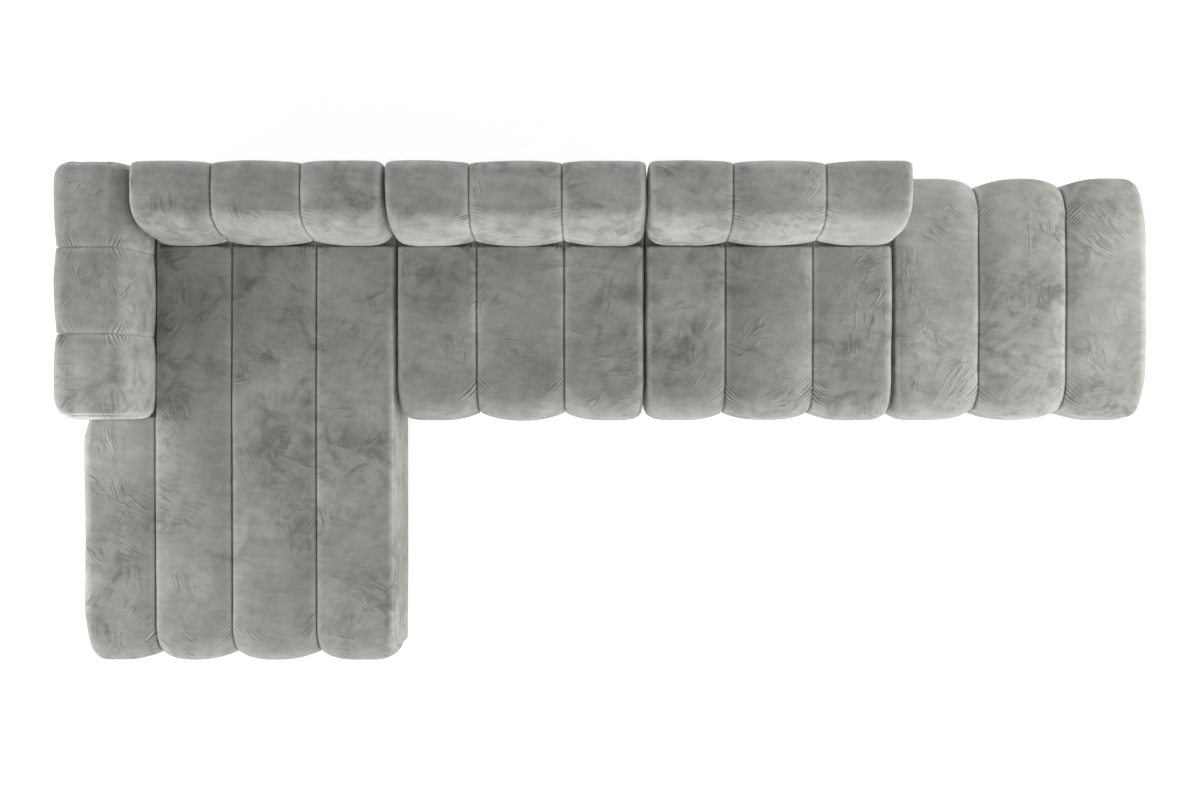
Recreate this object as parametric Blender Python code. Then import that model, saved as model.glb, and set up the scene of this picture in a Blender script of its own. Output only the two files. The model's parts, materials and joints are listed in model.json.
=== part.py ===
"""Modular corner sofa: a chaise module with an arm, two middle modules and an ottoman, in a row.

Each module is a timber box frame on turned feet, with a webbing deck, a foam core and a velvet cover that is
sewn into channels. The chaise and the middle modules carry a back, and the chaise also carries an arm: both
are ribbed timber frames, padded and covered the same way, whose ribs run down into the base frame. Flat steel
links turn on the feet and hook onto the feet of the next module.

Metres, +Z up. The sofa stands on z = 0, its backs face +Y, the chaise is at -X, and the origin is the middle
of the footprint.
"""

import math
from dataclasses import dataclass

import bmesh
import bpy
from mathutils import Vector

# Widths of the sewn channels. A module is as wide as the channels of its seat together.
CHAISE_ARM_CHANNEL = 0.321
CHAISE_INNER_CHANNEL = 0.327
CHAISE_CENTRE_CHANNEL = 0.360
CHAISE_EDGE_CHANNEL = 0.3394
CHAISE_BACK_INNER_CHANNEL = 0.3198
MIDDLE_EDGE_CHANNEL = 0.344
MIDDLE_CENTRE_CHANNEL = 0.373
OTTOMAN_EDGE_CHANNEL = 0.3625
OTTOMAN_CENTRE_CHANNEL = 0.3734

# Plan and heights of the modules
BASE_DEPTH = 1.045
CHAISE_LENGTH = 2.083
MODULE_GAP = 0.0006
HEM_HEIGHT = 0.045
SEAT_HEIGHT = 0.430
BACK_HEIGHT = 0.730
ARM_HEIGHT = 0.700
BACK_THICKNESS = 0.318
BACK_OVERHANG = 0.010
ARM_THICKNESS = 0.336
ARM_SETBACK = 0.0075

# Fits
CLEARANCE = 0.0003
OVERRUN = 0.050

# Velvet covers: the padding between a cover's crown and its core, at the faces and at the end panels
FACE_PADDING = 0.048
SIDE_PADDING = 0.035
PANEL_BULGE = 0.006
CROWN_RISE = 0.010
FACE_BULGE = 0.010
SMALLEST_RADIUS = 0.008
# Seat covers. A seam depth says how far the channels stand above their seam.
SEAT_SEAM_DEPTH = 0.024
SEAT_END_SEAM_DEPTH = 0.034
SEAT_TOP_RADIUS = 0.085
SEAT_HEM_RADIUS = 0.028
SEAT_SIDE_ROUNDING = 0.032
SEAT_CORNER_ROUNDING = 0.050
FREE_SIDE_ROUNDING = 0.060
FREE_TOP_ROUNDING = 0.078
SEAT_REST_SKIN = 0.008
SEAT_CHAMFER = 0.080
CORE_CHAMFER_SHARE = 0.75
# Backs and arm
BACK_SEAM_DEPTH = 0.024
BACK_REAR_SEAM_DEPTH = 0.010
BACK_FRONT_RADIUS = 0.110
BACK_REAR_RADIUS = 0.045
BACK_HEM_RADIUS = 0.026
BACK_REAR_HEM_RADIUS = 0.010
BACK_SIDE_ROUNDING = 0.032
BACK_CORNER_ROUNDING = 0.075
BACK_REAR_CORNER_ROUNDING = 0.014
BACK_REAR_PADDING = 0.030
BACK_FRONT_CHAMFER = 0.090
BACK_REAR_CHAMFER = 0.020
ARM_SEAM_DEPTH = 0.014
ARM_TOP_RADIUS = 0.075
ARM_CORNER_ROUNDING = 0.046
ARM_OUTER_PADDING = 0.050
ARM_FRONT_CHAMFER = 0.055
ARM_OUTER_CHAMFER = 0.034

# Timber
BOARD = 0.022
FRAME_HEIGHT = 0.220
WIDEST_BAY = 0.440
BLOCK_SIZE = 0.080
BLOCK_HEIGHT = 0.045
RIB = 0.028
RIB_DEPTH_AT_FOOT = 0.100
RIB_DEPTH_AT_TOP = 0.050
RIB_INSET = 0.060
UPRIGHT_RAIL = 0.032
FOAM_OVER_RAIL = 0.040
TONGUE_DEPTH = 0.030
TONGUE_REACH = 0.240

# Webbing deck and dust cover
STRAP_WIDTH = 0.070
STRAP_THICKNESS = 0.0024
STRAP_WEAVE = 0.0005
STRAP_PITCH = 0.190
STRAP_END_INSET = 0.006
DUST_COVER = 0.0012
DUST_COVER_LAP = 0.018

# Feet
FOOT_HEIGHT = 0.030
FOOT_TOP_RADIUS = 0.030
FOOT_FLOOR_RADIUS = 0.025
FOOT_CHAMFER = 0.003
FOOT_NECK_RADIUS = 0.008
FOOT_INSET = 0.090
FOOT_SIDES = 16
NECK_HOLE_RADIUS = 0.0086

# Steel links
LINK_WIDTH = 0.034
LINK_THICKNESS = 0.004
LINK_SLOT_RADIUS = 0.0095
LINK_TIP_WIDTH = 0.0035
LINK_SWING_DEG = 90
ARC_STEPS = 8

# Cross-section of a channel, from its seam to its middle: (share of the half width, share of the rise)
CHANNEL_SHARES = ((0.12, 0.44), (0.40, 0.87), (1.00, 1.00))
# Edge of an end panel, as angles of a quarter round, and the rings on the panel: (size share, bulge share)
EDGE_ANGLES_DEG = (0, 32, 62, 90)
PANEL_SHARES = ((0.80, 0.60), (0.42, 1.00))

COLOURS = {
    "velvet": ((0.38, 0.38, 0.36), 0.85, 0.0),
    "timber": ((0.62, 0.45, 0.28), 0.70, 0.0),
    "foam": ((0.86, 0.82, 0.66), 0.95, 0.0),
    "webbing": ((0.12, 0.12, 0.12), 0.80, 0.0),
    "lining": ((0.03, 0.03, 0.03), 0.90, 0.0),
    "plastic": ((0.02, 0.02, 0.02), 0.50, 0.0),
    "steel": ((0.55, 0.56, 0.58), 0.35, 1.0),
}


def clear_scene():
    for obj in list(bpy.data.objects):
        bpy.data.objects.remove(obj)


def material(name):
    """The named material, made the first time that it is asked for."""
    found = bpy.data.materials.get(name)
    if found:
        return found
    colour, roughness, metallic = COLOURS[name]
    made = bpy.data.materials.new(name)
    made.use_nodes = True
    shader = made.node_tree.nodes["Principled BSDF"]
    shader.inputs["Base Color"].default_value = (*colour, 1.0)
    shader.inputs["Roughness"].default_value = roughness
    shader.inputs["Metallic"].default_value = metallic
    return made


def add_object(name, mesh, parent=None):
    obj = bpy.data.objects.new(name, mesh)
    bpy.context.scene.collection.objects.link(obj)
    obj.parent = parent
    return obj


def finished_mesh(bm, name, finish=None, smooth_below_deg=None):
    """Turns a bmesh into a mesh with its faces out, its material and its smooth shading."""
    bmesh.ops.recalc_face_normals(bm, faces=bm.faces)
    mesh = bpy.data.meshes.new(name)
    bm.to_mesh(mesh)
    bm.free()
    if finish:
        mesh.materials.append(material(finish))
    if smooth_below_deg:
        mesh.shade_smooth()
        mesh.set_sharp_from_angle(angle=math.radians(smooth_below_deg))
    return mesh


def add_box(bm, low, high):
    """One box in a bmesh, from its lowest to its highest corner. Returns its vertices."""
    verts = bmesh.ops.create_cube(bm, size=1)["verts"]
    for vert in verts:
        vert.co = Vector([b if side > 0 else a for a, b, side in zip(low, high, vert.co)])
    return verts


def boxes_object(name, boxes, parent, finish=None):
    """Boxes that don't touch each other, in one object."""
    bm = bmesh.new()
    for low, high in boxes:
        add_box(bm, low, high)
    return add_object(name, finished_mesh(bm, name, finish), parent)


def loft_object(name, rings, parent, finish=None, smooth_below_deg=None):
    """A closed skin through rings of as many points each, with a flat face on the first and on the last."""
    bm = bmesh.new()
    loops = [[bm.verts.new(point) for point in ring] for ring in rings]
    for one, two in zip(loops, loops[1:]):
        for i in range(len(one)):
            j = (i + 1) % len(one)
            bm.faces.new((one[i], one[j], two[j], two[i]))
    bm.faces.new(loops[0])
    bm.faces.new(loops[-1])
    return add_object(name, finished_mesh(bm, name, finish, smooth_below_deg), parent)


def prism_object(name, outline, low, high, parent, finish=None, axis="z"):
    """An outline pushed along an axis, from low to high. Its points are (x, y) for z and (y, z) for x."""
    place = {
        "z": lambda p, h: (p[0], p[1], h),
        "x": lambda p, h: (h, p[0], p[1]),
    }[axis]
    rings = [[place(point, height) for point in outline] for height in (low, high)]
    return loft_object(name, rings, parent, finish)


def circle(radius, sides, centre=(0.0, 0.0)):
    turns = [2 * math.pi * i / sides for i in range(sides)]
    return [(centre[0] + radius * math.cos(a), centre[1] + radius * math.sin(a)) for a in turns]


def arc(centre, radius, start_deg, end_deg, steps):
    """Points on an arc, both ends included."""
    angles = [math.radians(start_deg + (end_deg - start_deg) * i / steps) for i in range(steps + 1)]
    return [(centre[0] + radius * math.cos(a), centre[1] + radius * math.sin(a)) for a in angles]


def combine(target, tool, operation):
    """Cuts a hidden tool from the target, or joins it to the target."""
    tool.hide_render = True
    tool.display_type = "WIRE"
    boolean = target.modifiers.new(tool.name, "BOOLEAN")
    boolean.operation = operation
    boolean.solver = "EXACT"
    boolean.object = tool
    return target


@dataclass
class End:
    """One end of a cover: the insets at the edge of its panel, and the rounding that leads to it."""

    insets: tuple
    rounding: float


@dataclass
class Quilt:
    """The form of a sewn cover, seen along its channels: -length is its front and 0 its rear.

    Insets say how far the front, rear, top and hem lie inside the crown, at a seam or at the edge of an end.
    ends holds the left and the right end.
    """

    length: float
    hem: float
    top: float
    seam_insets: tuple
    ends: tuple
    front_radius: float
    rear_radius: float
    front_hem_radius: float
    rear_hem_radius: float

    def outline(self, insets):
        """Points of one cross-section, from the front hem over the top to the rear hem."""
        front_in, rear_in, top_in, hem_in = insets
        front = -self.length + front_in
        rear = -rear_in
        crown = self.top - top_in
        hem = self.hem + hem_in
        shoulder = crown - CROWN_RISE
        wall = front + FACE_BULGE

        def corner(radius, inset_by):
            return max(radius - inset_by, SMALLEST_RADIUS)

        r_ft = corner(self.front_radius, min(front_in, top_in))
        r_rt = corner(self.rear_radius, min(rear_in, top_in))
        r_fh = corner(self.front_hem_radius, hem_in)
        r_rh = corner(self.rear_hem_radius, hem_in)
        points = arc((wall + r_fh, hem + r_fh), r_fh, 270, 180, 2)
        points.append((front, (hem + shoulder) / 2))
        points += arc((wall + r_ft, shoulder - r_ft), r_ft, 180, 90, 4)
        start, end = wall + r_ft, rear - r_rt
        points += [(start + (end - start) * i / 3, crown) for i in (1, 2)]
        points += arc((rear - r_rt, shoulder - r_rt), r_rt, 90, 0, 3)
        points += arc((rear - r_rh, hem + r_rh), r_rh, 0, -90, 2)
        return points


def scaled(insets, share):
    return tuple(share * inset for inset in insets)


def end_sections(end):
    """(distance from the end, insets, size) for each section from the middle of its panel to the crown."""
    sections = [(PANEL_BULGE * (1 - bulge), end.insets, share) for share, bulge in reversed(PANEL_SHARES)]
    for angle in reversed(EDGE_ANGLES_DEG):
        turn = math.radians(angle)
        place = PANEL_BULGE + end.rounding * (1 - math.sin(turn))
        sections.append((place, scaled(end.insets, 1 - math.cos(turn)), 1))
    return sections


def quilted_cover(name, form, channel_widths, parent):
    """A closed pillow of channels side by side along X, with a plain, slightly bulged panel at each end."""
    width = sum(channel_widths)
    left_end, right_end = (end_sections(end) for end in form.ends)
    sections = list(left_end)
    left = 0.0
    for index, channel in enumerate(channel_widths):
        half = channel / 2
        is_first, is_last = index == 0, index == len(channel_widths) - 1
        if is_first:
            sections.append((left + half, scaled(form.seam_insets, 0), 1))
        else:
            sections.append((left, form.seam_insets, 1))
            for share, rise in CHANNEL_SHARES:
                sections.append((left + share * half, scaled(form.seam_insets, 1 - rise), 1))
        if not is_last:
            for share, rise in reversed(CHANNEL_SHARES[:-1]):
                sections.append((left + channel - share * half, scaled(form.seam_insets, 1 - rise), 1))
        left += channel
    sections += [(width - place, insets, size) for place, insets, size in reversed(right_end)]

    middle = Vector((-form.length / 2, (form.hem + form.top) / 2))
    rings = []
    for x, insets, size in sections:
        points = [middle + size * (Vector(point) - middle) for point in form.outline(insets)]
        rings.append([(x, point.x, point.y) for point in points])
    return loft_object(name, rings, parent, "velvet", smooth_below_deg=40)


def chamfered_core(name, low, high, parent, chamfer, finish=None):
    """A block with its long top edges cut off, as foam is under a rounded cover."""
    (x0, y0, z0), (x1, y1, z1) = low, high
    outline = [
        (y0, z0),
        (y0, z1 - chamfer),
        (y0 + chamfer, z1),
        (y1 - chamfer, z1),
        (y1, z1 - chamfer),
        (y1, z0),
    ]
    return prism_object(name, outline, x0, x1, parent, finish, axis="x")


def split_evenly(start, end, widest):
    """Places of the boards between two outer boards, so that no bay is wider than widest."""
    bays = math.ceil((end - start) / widest)
    return [start + (end - start) * i / bays for i in range(1, bays)]


# Levels inside a base, from the floor up
FRAME_TOP = HEM_HEIGHT + FRAME_HEIGHT
DECK_BOTTOM = FRAME_TOP + CLEARANCE
DECK_TOP = DECK_BOTTOM + STRAP_THICKNESS + STRAP_WEAVE
CORE_TOP = SEAT_HEIGHT - FACE_PADDING
CORE_CHAMFER = min(SEAT_CHAMFER, (CORE_TOP - DECK_TOP) * CORE_CHAMFER_SHARE)
SEAT_REST = CORE_TOP + SEAT_REST_SKIN
TONGUE_BOTTOM = SEAT_REST - TONGUE_REACH


@dataclass
class Module:
    """One piece of furniture that can stand by itself. Its origin is its rear left corner on the floor."""

    name: str
    channels: tuple
    depth: float
    left: float
    back_channels: tuple
    has_arm: bool
    free_sides: tuple

    @property
    def width(self):
        return sum(self.channels)

    @property
    def frame_low(self):
        return (SIDE_PADDING, -self.depth + FACE_PADDING, HEM_HEIGHT)

    @property
    def frame_high(self):
        return (self.width - SIDE_PADDING, -FACE_PADDING, FRAME_TOP)

    def foot_places(self):
        """Feet near the corners, and a third pair level with the next module's front on a longer module."""
        rear, front = -FOOT_INSET, -BASE_DEPTH + FOOT_INSET
        rows = [rear, front]
        if self.depth > BASE_DEPTH:
            rows.append(-self.depth + FOOT_INSET)
        return [(x, y) for y in rows for x in (FOOT_INSET, self.width - FOOT_INSET)]

    def seat_quilt(self):
        """Its sides are rounder where no other module stands beside them."""
        corner = SEAT_CORNER_ROUNDING
        joined = End((corner, corner, SEAT_SIDE_ROUNDING, SEAT_HEM_RADIUS), SEAT_SIDE_ROUNDING)
        free = End((corner, corner, FREE_TOP_ROUNDING, SEAT_HEM_RADIUS), FREE_SIDE_ROUNDING)
        return Quilt(
            length=self.depth,
            hem=HEM_HEIGHT,
            top=SEAT_HEIGHT,
            seam_insets=(SEAT_END_SEAM_DEPTH, SEAT_END_SEAM_DEPTH, SEAT_SEAM_DEPTH, 0),
            ends=tuple(free if is_free else joined for is_free in self.free_sides),
            front_radius=SEAT_TOP_RADIUS,
            rear_radius=SEAT_TOP_RADIUS,
            front_hem_radius=SEAT_HEM_RADIUS,
            rear_hem_radius=SEAT_HEM_RADIUS,
        )


def back_quilt():
    insets = (BACK_CORNER_ROUNDING, BACK_REAR_CORNER_ROUNDING, BACK_SIDE_ROUNDING, BACK_REAR_HEM_RADIUS)
    return Quilt(
        length=BACK_THICKNESS,
        hem=SEAT_REST + CLEARANCE,
        top=BACK_HEIGHT,
        seam_insets=(BACK_SEAM_DEPTH, BACK_REAR_SEAM_DEPTH, BACK_SEAM_DEPTH, 0),
        ends=(End(insets, BACK_SIDE_ROUNDING),) * 2,
        front_radius=BACK_FRONT_RADIUS,
        rear_radius=BACK_REAR_RADIUS,
        front_hem_radius=BACK_HEM_RADIUS,
        rear_hem_radius=BACK_REAR_HEM_RADIUS,
    )


def arm_quilt():
    insets = (ARM_CORNER_ROUNDING, ARM_CORNER_ROUNDING, BACK_SIDE_ROUNDING, BACK_REAR_HEM_RADIUS)
    return Quilt(
        length=ARM_THICKNESS - CLEARANCE,
        hem=SEAT_REST + CLEARANCE,
        top=ARM_HEIGHT,
        seam_insets=(ARM_SEAM_DEPTH, ARM_SEAM_DEPTH, ARM_SEAM_DEPTH, 0),
        ends=(End(insets, BACK_SIDE_ROUNDING),) * 2,
        front_radius=ARM_TOP_RADIUS,
        rear_radius=ARM_TOP_RADIUS,
        front_hem_radius=BACK_HEM_RADIUS,
        rear_hem_radius=BACK_HEM_RADIUS,
    )


@dataclass
class Upright:
    """A back or an arm. Along X it is as long as its channels. Its rear is at y = 0, its front at -thickness.

    rail_face is where the inner face of the base rail lies that its ribs are screwed to. The chamfers cut the
    front and the rear top edge of its foam.
    """

    name: str
    channels: tuple
    quilt: Quilt
    rear_padding: float
    rail_face: float
    front_chamfer: float
    rear_chamfer: float

    @property
    def length(self):
        return sum(self.channels)

    @property
    def core_low(self):
        return (SIDE_PADDING, -self.quilt.length + FACE_PADDING, self.quilt.hem)

    @property
    def core_high(self):
        return (self.length - SIDE_PADDING, -self.rear_padding, self.quilt.top - FACE_PADDING)

    @property
    def rail_top(self):
        return self.core_high[2] - FOAM_OVER_RAIL

    def rib_places(self):
        """Left side of each rib: one near each end and one in the middle."""
        first = SIDE_PADDING + RIB_INSET
        last = self.length - SIDE_PADDING - RIB_INSET - RIB
        return [first, (first + last) / 2, last]

    def tongue_boxes(self, grow=0.0):
        """The lower end of each rib, which runs down inside the base. grow gives the slot around it."""
        return [
            (
                (x - grow, self.rail_face - TONGUE_DEPTH - grow, TONGUE_BOTTOM - grow),
                (x + RIB + grow, self.rail_face + grow, self.quilt.hem + OVERRUN),
            )
            for x in self.rib_places()
        ]


def grown(low, high, by):
    return tuple(v - by for v in low), tuple(v + by for v in high)


def base_frame(module, parent):
    """A box of boards on edge with cross boards, and a block in the way of each foot."""
    (x0, y0, z0), (x1, y1, z1) = module.frame_low, module.frame_high
    box = (module.frame_low, module.frame_high)
    frame = boxes_object(f"{module.name}_base_frame", [box], parent, "timber")
    boards = [y0 + BOARD / 2, *split_evenly(y0, y1, WIDEST_BAY), y1 - BOARD / 2]
    bays = [
        ((x0 + BOARD, near + BOARD / 2, z0 - OVERRUN), (x1 - BOARD, far - BOARD / 2, z1 + OVERRUN))
        for near, far in zip(boards, boards[1:])
    ]
    combine(frame, boxes_object(f"{module.name}_bays", bays, parent), "DIFFERENCE")
    reach = BLOCK_SIZE / 2
    top = z0 + BLOCK_HEIGHT
    blocks = [((x - reach, y - reach, z0), (x + reach, y + reach, top)) for x, y in module.foot_places()]
    blocks = [
        (
            (max(low[0], x0 + BOARD / 2), max(low[1], y0 + BOARD / 2), low[2]),
            (min(high[0], x1 - BOARD / 2), min(high[1], y1 - BOARD / 2), high[2]),
        )
        for low, high in blocks
    ]
    return combine(frame, boxes_object(f"{module.name}_blocks", blocks, parent), "UNION")


def webbing_deck(module, slots, parent):
    """Straps across the frame in both directions, the lengthwise ones lying a little higher."""
    (x0, y0, _), (x1, y1, _) = module.frame_low, module.frame_high
    x0, y0, x1, y1 = x0 + STRAP_END_INSET, y0 + STRAP_END_INSET, x1 - STRAP_END_INSET, y1 - STRAP_END_INSET
    half = STRAP_WIDTH / 2
    across = [
        ((x0, y - half, DECK_BOTTOM), (x1, y + half, DECK_BOTTOM + STRAP_THICKNESS))
        for y in split_evenly(y0, y1, STRAP_PITCH)
    ]
    along = [
        ((x - half, y0, DECK_BOTTOM + STRAP_WEAVE), (x + half, y1, DECK_TOP))
        for x in split_evenly(x0, x1, STRAP_PITCH)
    ]
    deck = boxes_object(f"{module.name}_webbing", across, parent, "webbing")
    combine(deck, boxes_object(f"{module.name}_long_straps", along, parent), "UNION")
    return cut_slots(deck, slots, parent)


def cut_slots(target, slots, parent):
    """Cuts the ways that the ribs of a back or an arm take through a piece of the base."""
    for number, boxes in enumerate(slots):
        tool = boxes_object(f"{target.name}_slots_{number}", boxes, parent)
        combine(target, tool, "DIFFERENCE")
    return target


def seat_foam(module, slots, parent):
    x0, y0, _ = module.frame_low
    x1, y1, _ = module.frame_high
    low, high = (x0, y0, DECK_TOP + CLEARANCE), (x1, y1, CORE_TOP)
    foam = chamfered_core(f"{module.name}_seat_foam", low, high, parent, CORE_CHAMFER, "foam")
    return cut_slots(foam, slots, parent)


def seat_cover(module, slots, parent):
    """The quilted cover of a base, hollow for its frame and foam, and flat where a back or an arm stands."""
    cover = quilted_cover(f"{module.name}_seat_cover", module.seat_quilt(), module.channels, parent)
    x0, y0, z0 = module.frame_low
    x1, y1, _ = module.frame_high
    low, high = grown((x0, y0, z0 - OVERRUN), (x1, y1, CORE_TOP), CLEARANCE)
    core = chamfered_core(f"{module.name}_hollow", low, high, parent, CORE_CHAMFER)
    combine(cover, core, "DIFFERENCE")
    above = SEAT_HEIGHT + OVERRUN
    lean = FACE_BULGE / 2
    if module.back_channels:
        front = -BACK_THICKNESS + BACK_OVERHANG + lean
        rest = ((-OVERRUN, front, SEAT_REST), (module.width + OVERRUN, OVERRUN, above))
        combine(cover, boxes_object(f"{module.name}_back_rest_cut", [rest], parent), "DIFFERENCE")
    if module.has_arm:
        front = -BASE_DEPTH + ARM_SETBACK - CLEARANCE
        rest = ((-OVERRUN, front, SEAT_REST), (ARM_THICKNESS - lean, OVERRUN, above))
        combine(cover, boxes_object(f"{module.name}_arm_rest_cut", [rest], parent), "DIFFERENCE")
    return cut_slots(cover, slots, parent)


def dust_cover(module, parent):
    """The cloth stapled under the frame, with a hole for the neck of each foot."""
    lap = FACE_PADDING - DUST_COVER_LAP, SIDE_PADDING - DUST_COVER_LAP
    top = HEM_HEIGHT - CLEARANCE
    low = (lap[1], -module.depth + lap[0], top - DUST_COVER)
    high = (module.width - lap[1], -lap[0], top)
    sheet = boxes_object(f"{module.name}_dust_cover", [(low, high)], parent, "lining")
    for number, place in enumerate(module.foot_places(), start=1):
        hole = prism_object(
            f"{module.name}_neck_hole_{number}",
            circle(NECK_HOLE_RADIUS, FOOT_SIDES, place),
            low[2] - OVERRUN,
            top + OVERRUN,
            parent,
        )
        combine(sheet, hole, "DIFFERENCE")
    return sheet


def foot(name, place, parent):
    """A turned foot that widens upwards, with a neck that runs up to the block in the frame."""
    profile = [
        (FOOT_FLOOR_RADIUS - FOOT_CHAMFER, 0.0),
        (FOOT_FLOOR_RADIUS, FOOT_CHAMFER),
        (FOOT_TOP_RADIUS, FOOT_HEIGHT),
        (FOOT_NECK_RADIUS, FOOT_HEIGHT),
        (FOOT_NECK_RADIUS, HEM_HEIGHT - CLEARANCE),
    ]
    rings = [[(x, y, height) for x, y in circle(radius, FOOT_SIDES)] for radius, height in profile]
    made = loft_object(name, rings, parent, "plastic", smooth_below_deg=30)
    made.location = (*place, 0.0)
    return made


def link_outline(reach, hand):
    """A flat bar with a round end at (0, 0) and a slot at (reach, 0) that opens sideways, hand times +Y."""
    half = LINK_WIDTH / 2
    points = arc((0, 0), half, 90, 270, ARC_STEPS)
    points += arc((reach, 0), half, -90, 30, ARC_STEPS)
    points.append((reach + LINK_SLOT_RADIUS + LINK_TIP_WIDTH, half - LINK_TIP_WIDTH))
    points.append((reach + LINK_SLOT_RADIUS, half - LINK_TIP_WIDTH))
    points += arc((reach, 0), LINK_SLOT_RADIUS, 0, -180, ARC_STEPS)
    points.append((reach - LINK_SLOT_RADIUS, half))
    return [(x, hand * y) for x, y in points]


def link(name, place, hand, parent):
    """A steel link on the neck of a foot, parked under its own module. It swings out to the next foot."""
    reach = 2 * FOOT_INSET + MODULE_GAP
    bottom = FOOT_HEIGHT + CLEARANCE
    plate = prism_object(name, link_outline(reach, hand), bottom, bottom + LINK_THICKNESS, parent, "steel")
    eye = prism_object(
        f"{name}_eye", circle(NECK_HOLE_RADIUS, FOOT_SIDES), bottom - OVERRUN, bottom + OVERRUN, plate
    )
    plate.location = (*place, 0.0)
    plate.rotation_euler.z = math.radians(-hand * LINK_SWING_DEG)
    return combine(plate, eye, "DIFFERENCE")


def upright_frame(upright, parent):
    """Ribs that taper upwards, joined by a bottom and a top rail. Their tongues run down into the base."""
    (x0, _, z0), (x1, rear, _) = upright.core_low, upright.core_high
    top = upright.rail_top
    outline = [(rear - RIB_DEPTH_AT_FOOT, z0), (rear, z0), (rear, top), (rear - RIB_DEPTH_AT_TOP, top)]
    frame = prism_object(f"{upright.name}_frame", outline, x0, x1, parent, "timber", axis="x")
    ribs = upright.rib_places()
    edges = [x0 - OVERRUN, *[x for rib in ribs for x in (rib, rib + RIB)], x1 + OVERRUN]
    front = rear - RIB_DEPTH_AT_FOOT - OVERRUN
    bays = [
        ((left, front, z0 + UPRIGHT_RAIL), (right, rear + OVERRUN, top - UPRIGHT_RAIL))
        for left, right in zip(edges[::2], edges[1::2])
    ]
    combine(frame, boxes_object(f"{upright.name}_bays", bays, parent), "DIFFERENCE")
    tongues = [(low, (high[0], high[1], z0 + UPRIGHT_RAIL)) for low, high in upright.tongue_boxes()]
    return combine(frame, boxes_object(f"{upright.name}_tongues", tongues, parent), "UNION")


def upright_foam(upright, parent):
    """The foam in front of the ribs, which follows their taper, and over the top rail."""
    (x0, _, z0), (x1, rear, _) = upright.core_low, upright.core_high
    above = upright.rail_top + CLEARANCE
    outline = core_outline(upright, upright.core_low[1:], upright.core_high[1:])
    outline[-1:] = [
        (rear, above),
        (rear - RIB_DEPTH_AT_TOP - CLEARANCE, above),
        (rear - RIB_DEPTH_AT_FOOT - CLEARANCE, z0),
    ]
    return prism_object(f"{upright.name}_foam", outline, x0, x1, parent, "foam", axis="x")


def core_outline(upright, low, high):
    """The core of a back or an arm seen along X, from its front foot over the top to its rear foot."""
    (front, z0), (rear, z1) = low, high
    return [
        (front, z0),
        (front, z1 - upright.front_chamfer),
        (front + upright.front_chamfer, z1),
        (rear - upright.rear_chamfer, z1),
        (rear, z1 - upright.rear_chamfer),
        (rear, z0),
    ]


def upright_cover(upright, parent):
    cover = quilted_cover(f"{upright.name}_cover", upright.quilt, upright.channels, parent)
    (x0, front, z0), (x1, rear, z1) = upright.core_low, upright.core_high
    low, high = grown((x0, front, z0 - OVERRUN), (x1, rear, z1), CLEARANCE)
    outline = core_outline(upright, low[1:], high[1:])
    hollow = prism_object(f"{upright.name}_hollow", outline, low[0], high[0], parent, axis="x")
    return combine(cover, hollow, "DIFFERENCE")


def build_upright(upright, parent):
    upright_frame(upright, parent)
    upright_foam(upright, parent)
    upright_cover(upright, parent)


def back_of(module):
    return Upright(
        name=f"{module.name}_back",
        channels=module.back_channels,
        quilt=back_quilt(),
        rear_padding=BACK_REAR_PADDING,
        rail_face=-BACK_OVERHANG - FACE_PADDING - BOARD - CLEARANCE,
        front_chamfer=BACK_FRONT_CHAMFER,
        rear_chamfer=BACK_REAR_CHAMFER,
    )


def arm_of(module):
    return Upright(
        name=f"{module.name}_arm",
        channels=((BASE_DEPTH + BACK_OVERHANG - ARM_SETBACK) / 3,) * 3,
        quilt=arm_quilt(),
        rear_padding=ARM_OUTER_PADDING,
        rail_face=-SIDE_PADDING - BOARD - CLEARANCE,
        front_chamfer=ARM_FRONT_CHAMFER,
        rear_chamfer=ARM_OUTER_CHAMFER,
    )


def turned_box(box, place, turn_deg):
    """A box turned about +Z by a right angle, or not at all, and then moved."""
    cos, sin = round(math.cos(math.radians(turn_deg))), round(math.sin(math.radians(turn_deg)))
    ends = [
        (cos * x - sin * y + place[0], sin * x + cos * y + place[1], z + place[2]) for x, y, z in box
    ]
    return tuple(map(min, *ends)), tuple(map(max, *ends))


def build_module(module, rear, links):
    """Builds one module at its place. links are the rows of feet, from the rear on, that carry a link."""
    root = add_object(module.name, None)
    root.location = (module.left, rear, 0.0)
    uprights = []
    if module.back_channels:
        side = ARM_THICKNESS if module.has_arm else 0.0
        uprights.append((back_of(module), (side, BACK_OVERHANG, 0.0), 0))
    if module.has_arm:
        uprights.append((arm_of(module), (0.0, -BASE_DEPTH + ARM_SETBACK, 0.0), 90))
    slots = [
        [turned_box(box, place, turn) for box in upright.tongue_boxes(CLEARANCE)]
        for upright, place, turn in uprights
    ]
    base_frame(module, root)
    webbing_deck(module, slots, root)
    seat_foam(module, slots, root)
    seat_cover(module, slots, root)
    dust_cover(module, root)
    for number, place in enumerate(module.foot_places(), start=1):
        foot(f"{module.name}_foot_{number}", place, root)
    for row, hand, where in links:
        link(f"{module.name}_link_{where}", module.foot_places()[2 * row + 1], hand, root)
    for upright, place, turn in uprights:
        stand = add_object(upright.name, None, root)
        stand.location = place
        stand.rotation_euler.z = math.radians(turn)
        build_upright(upright, stand)


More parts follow.
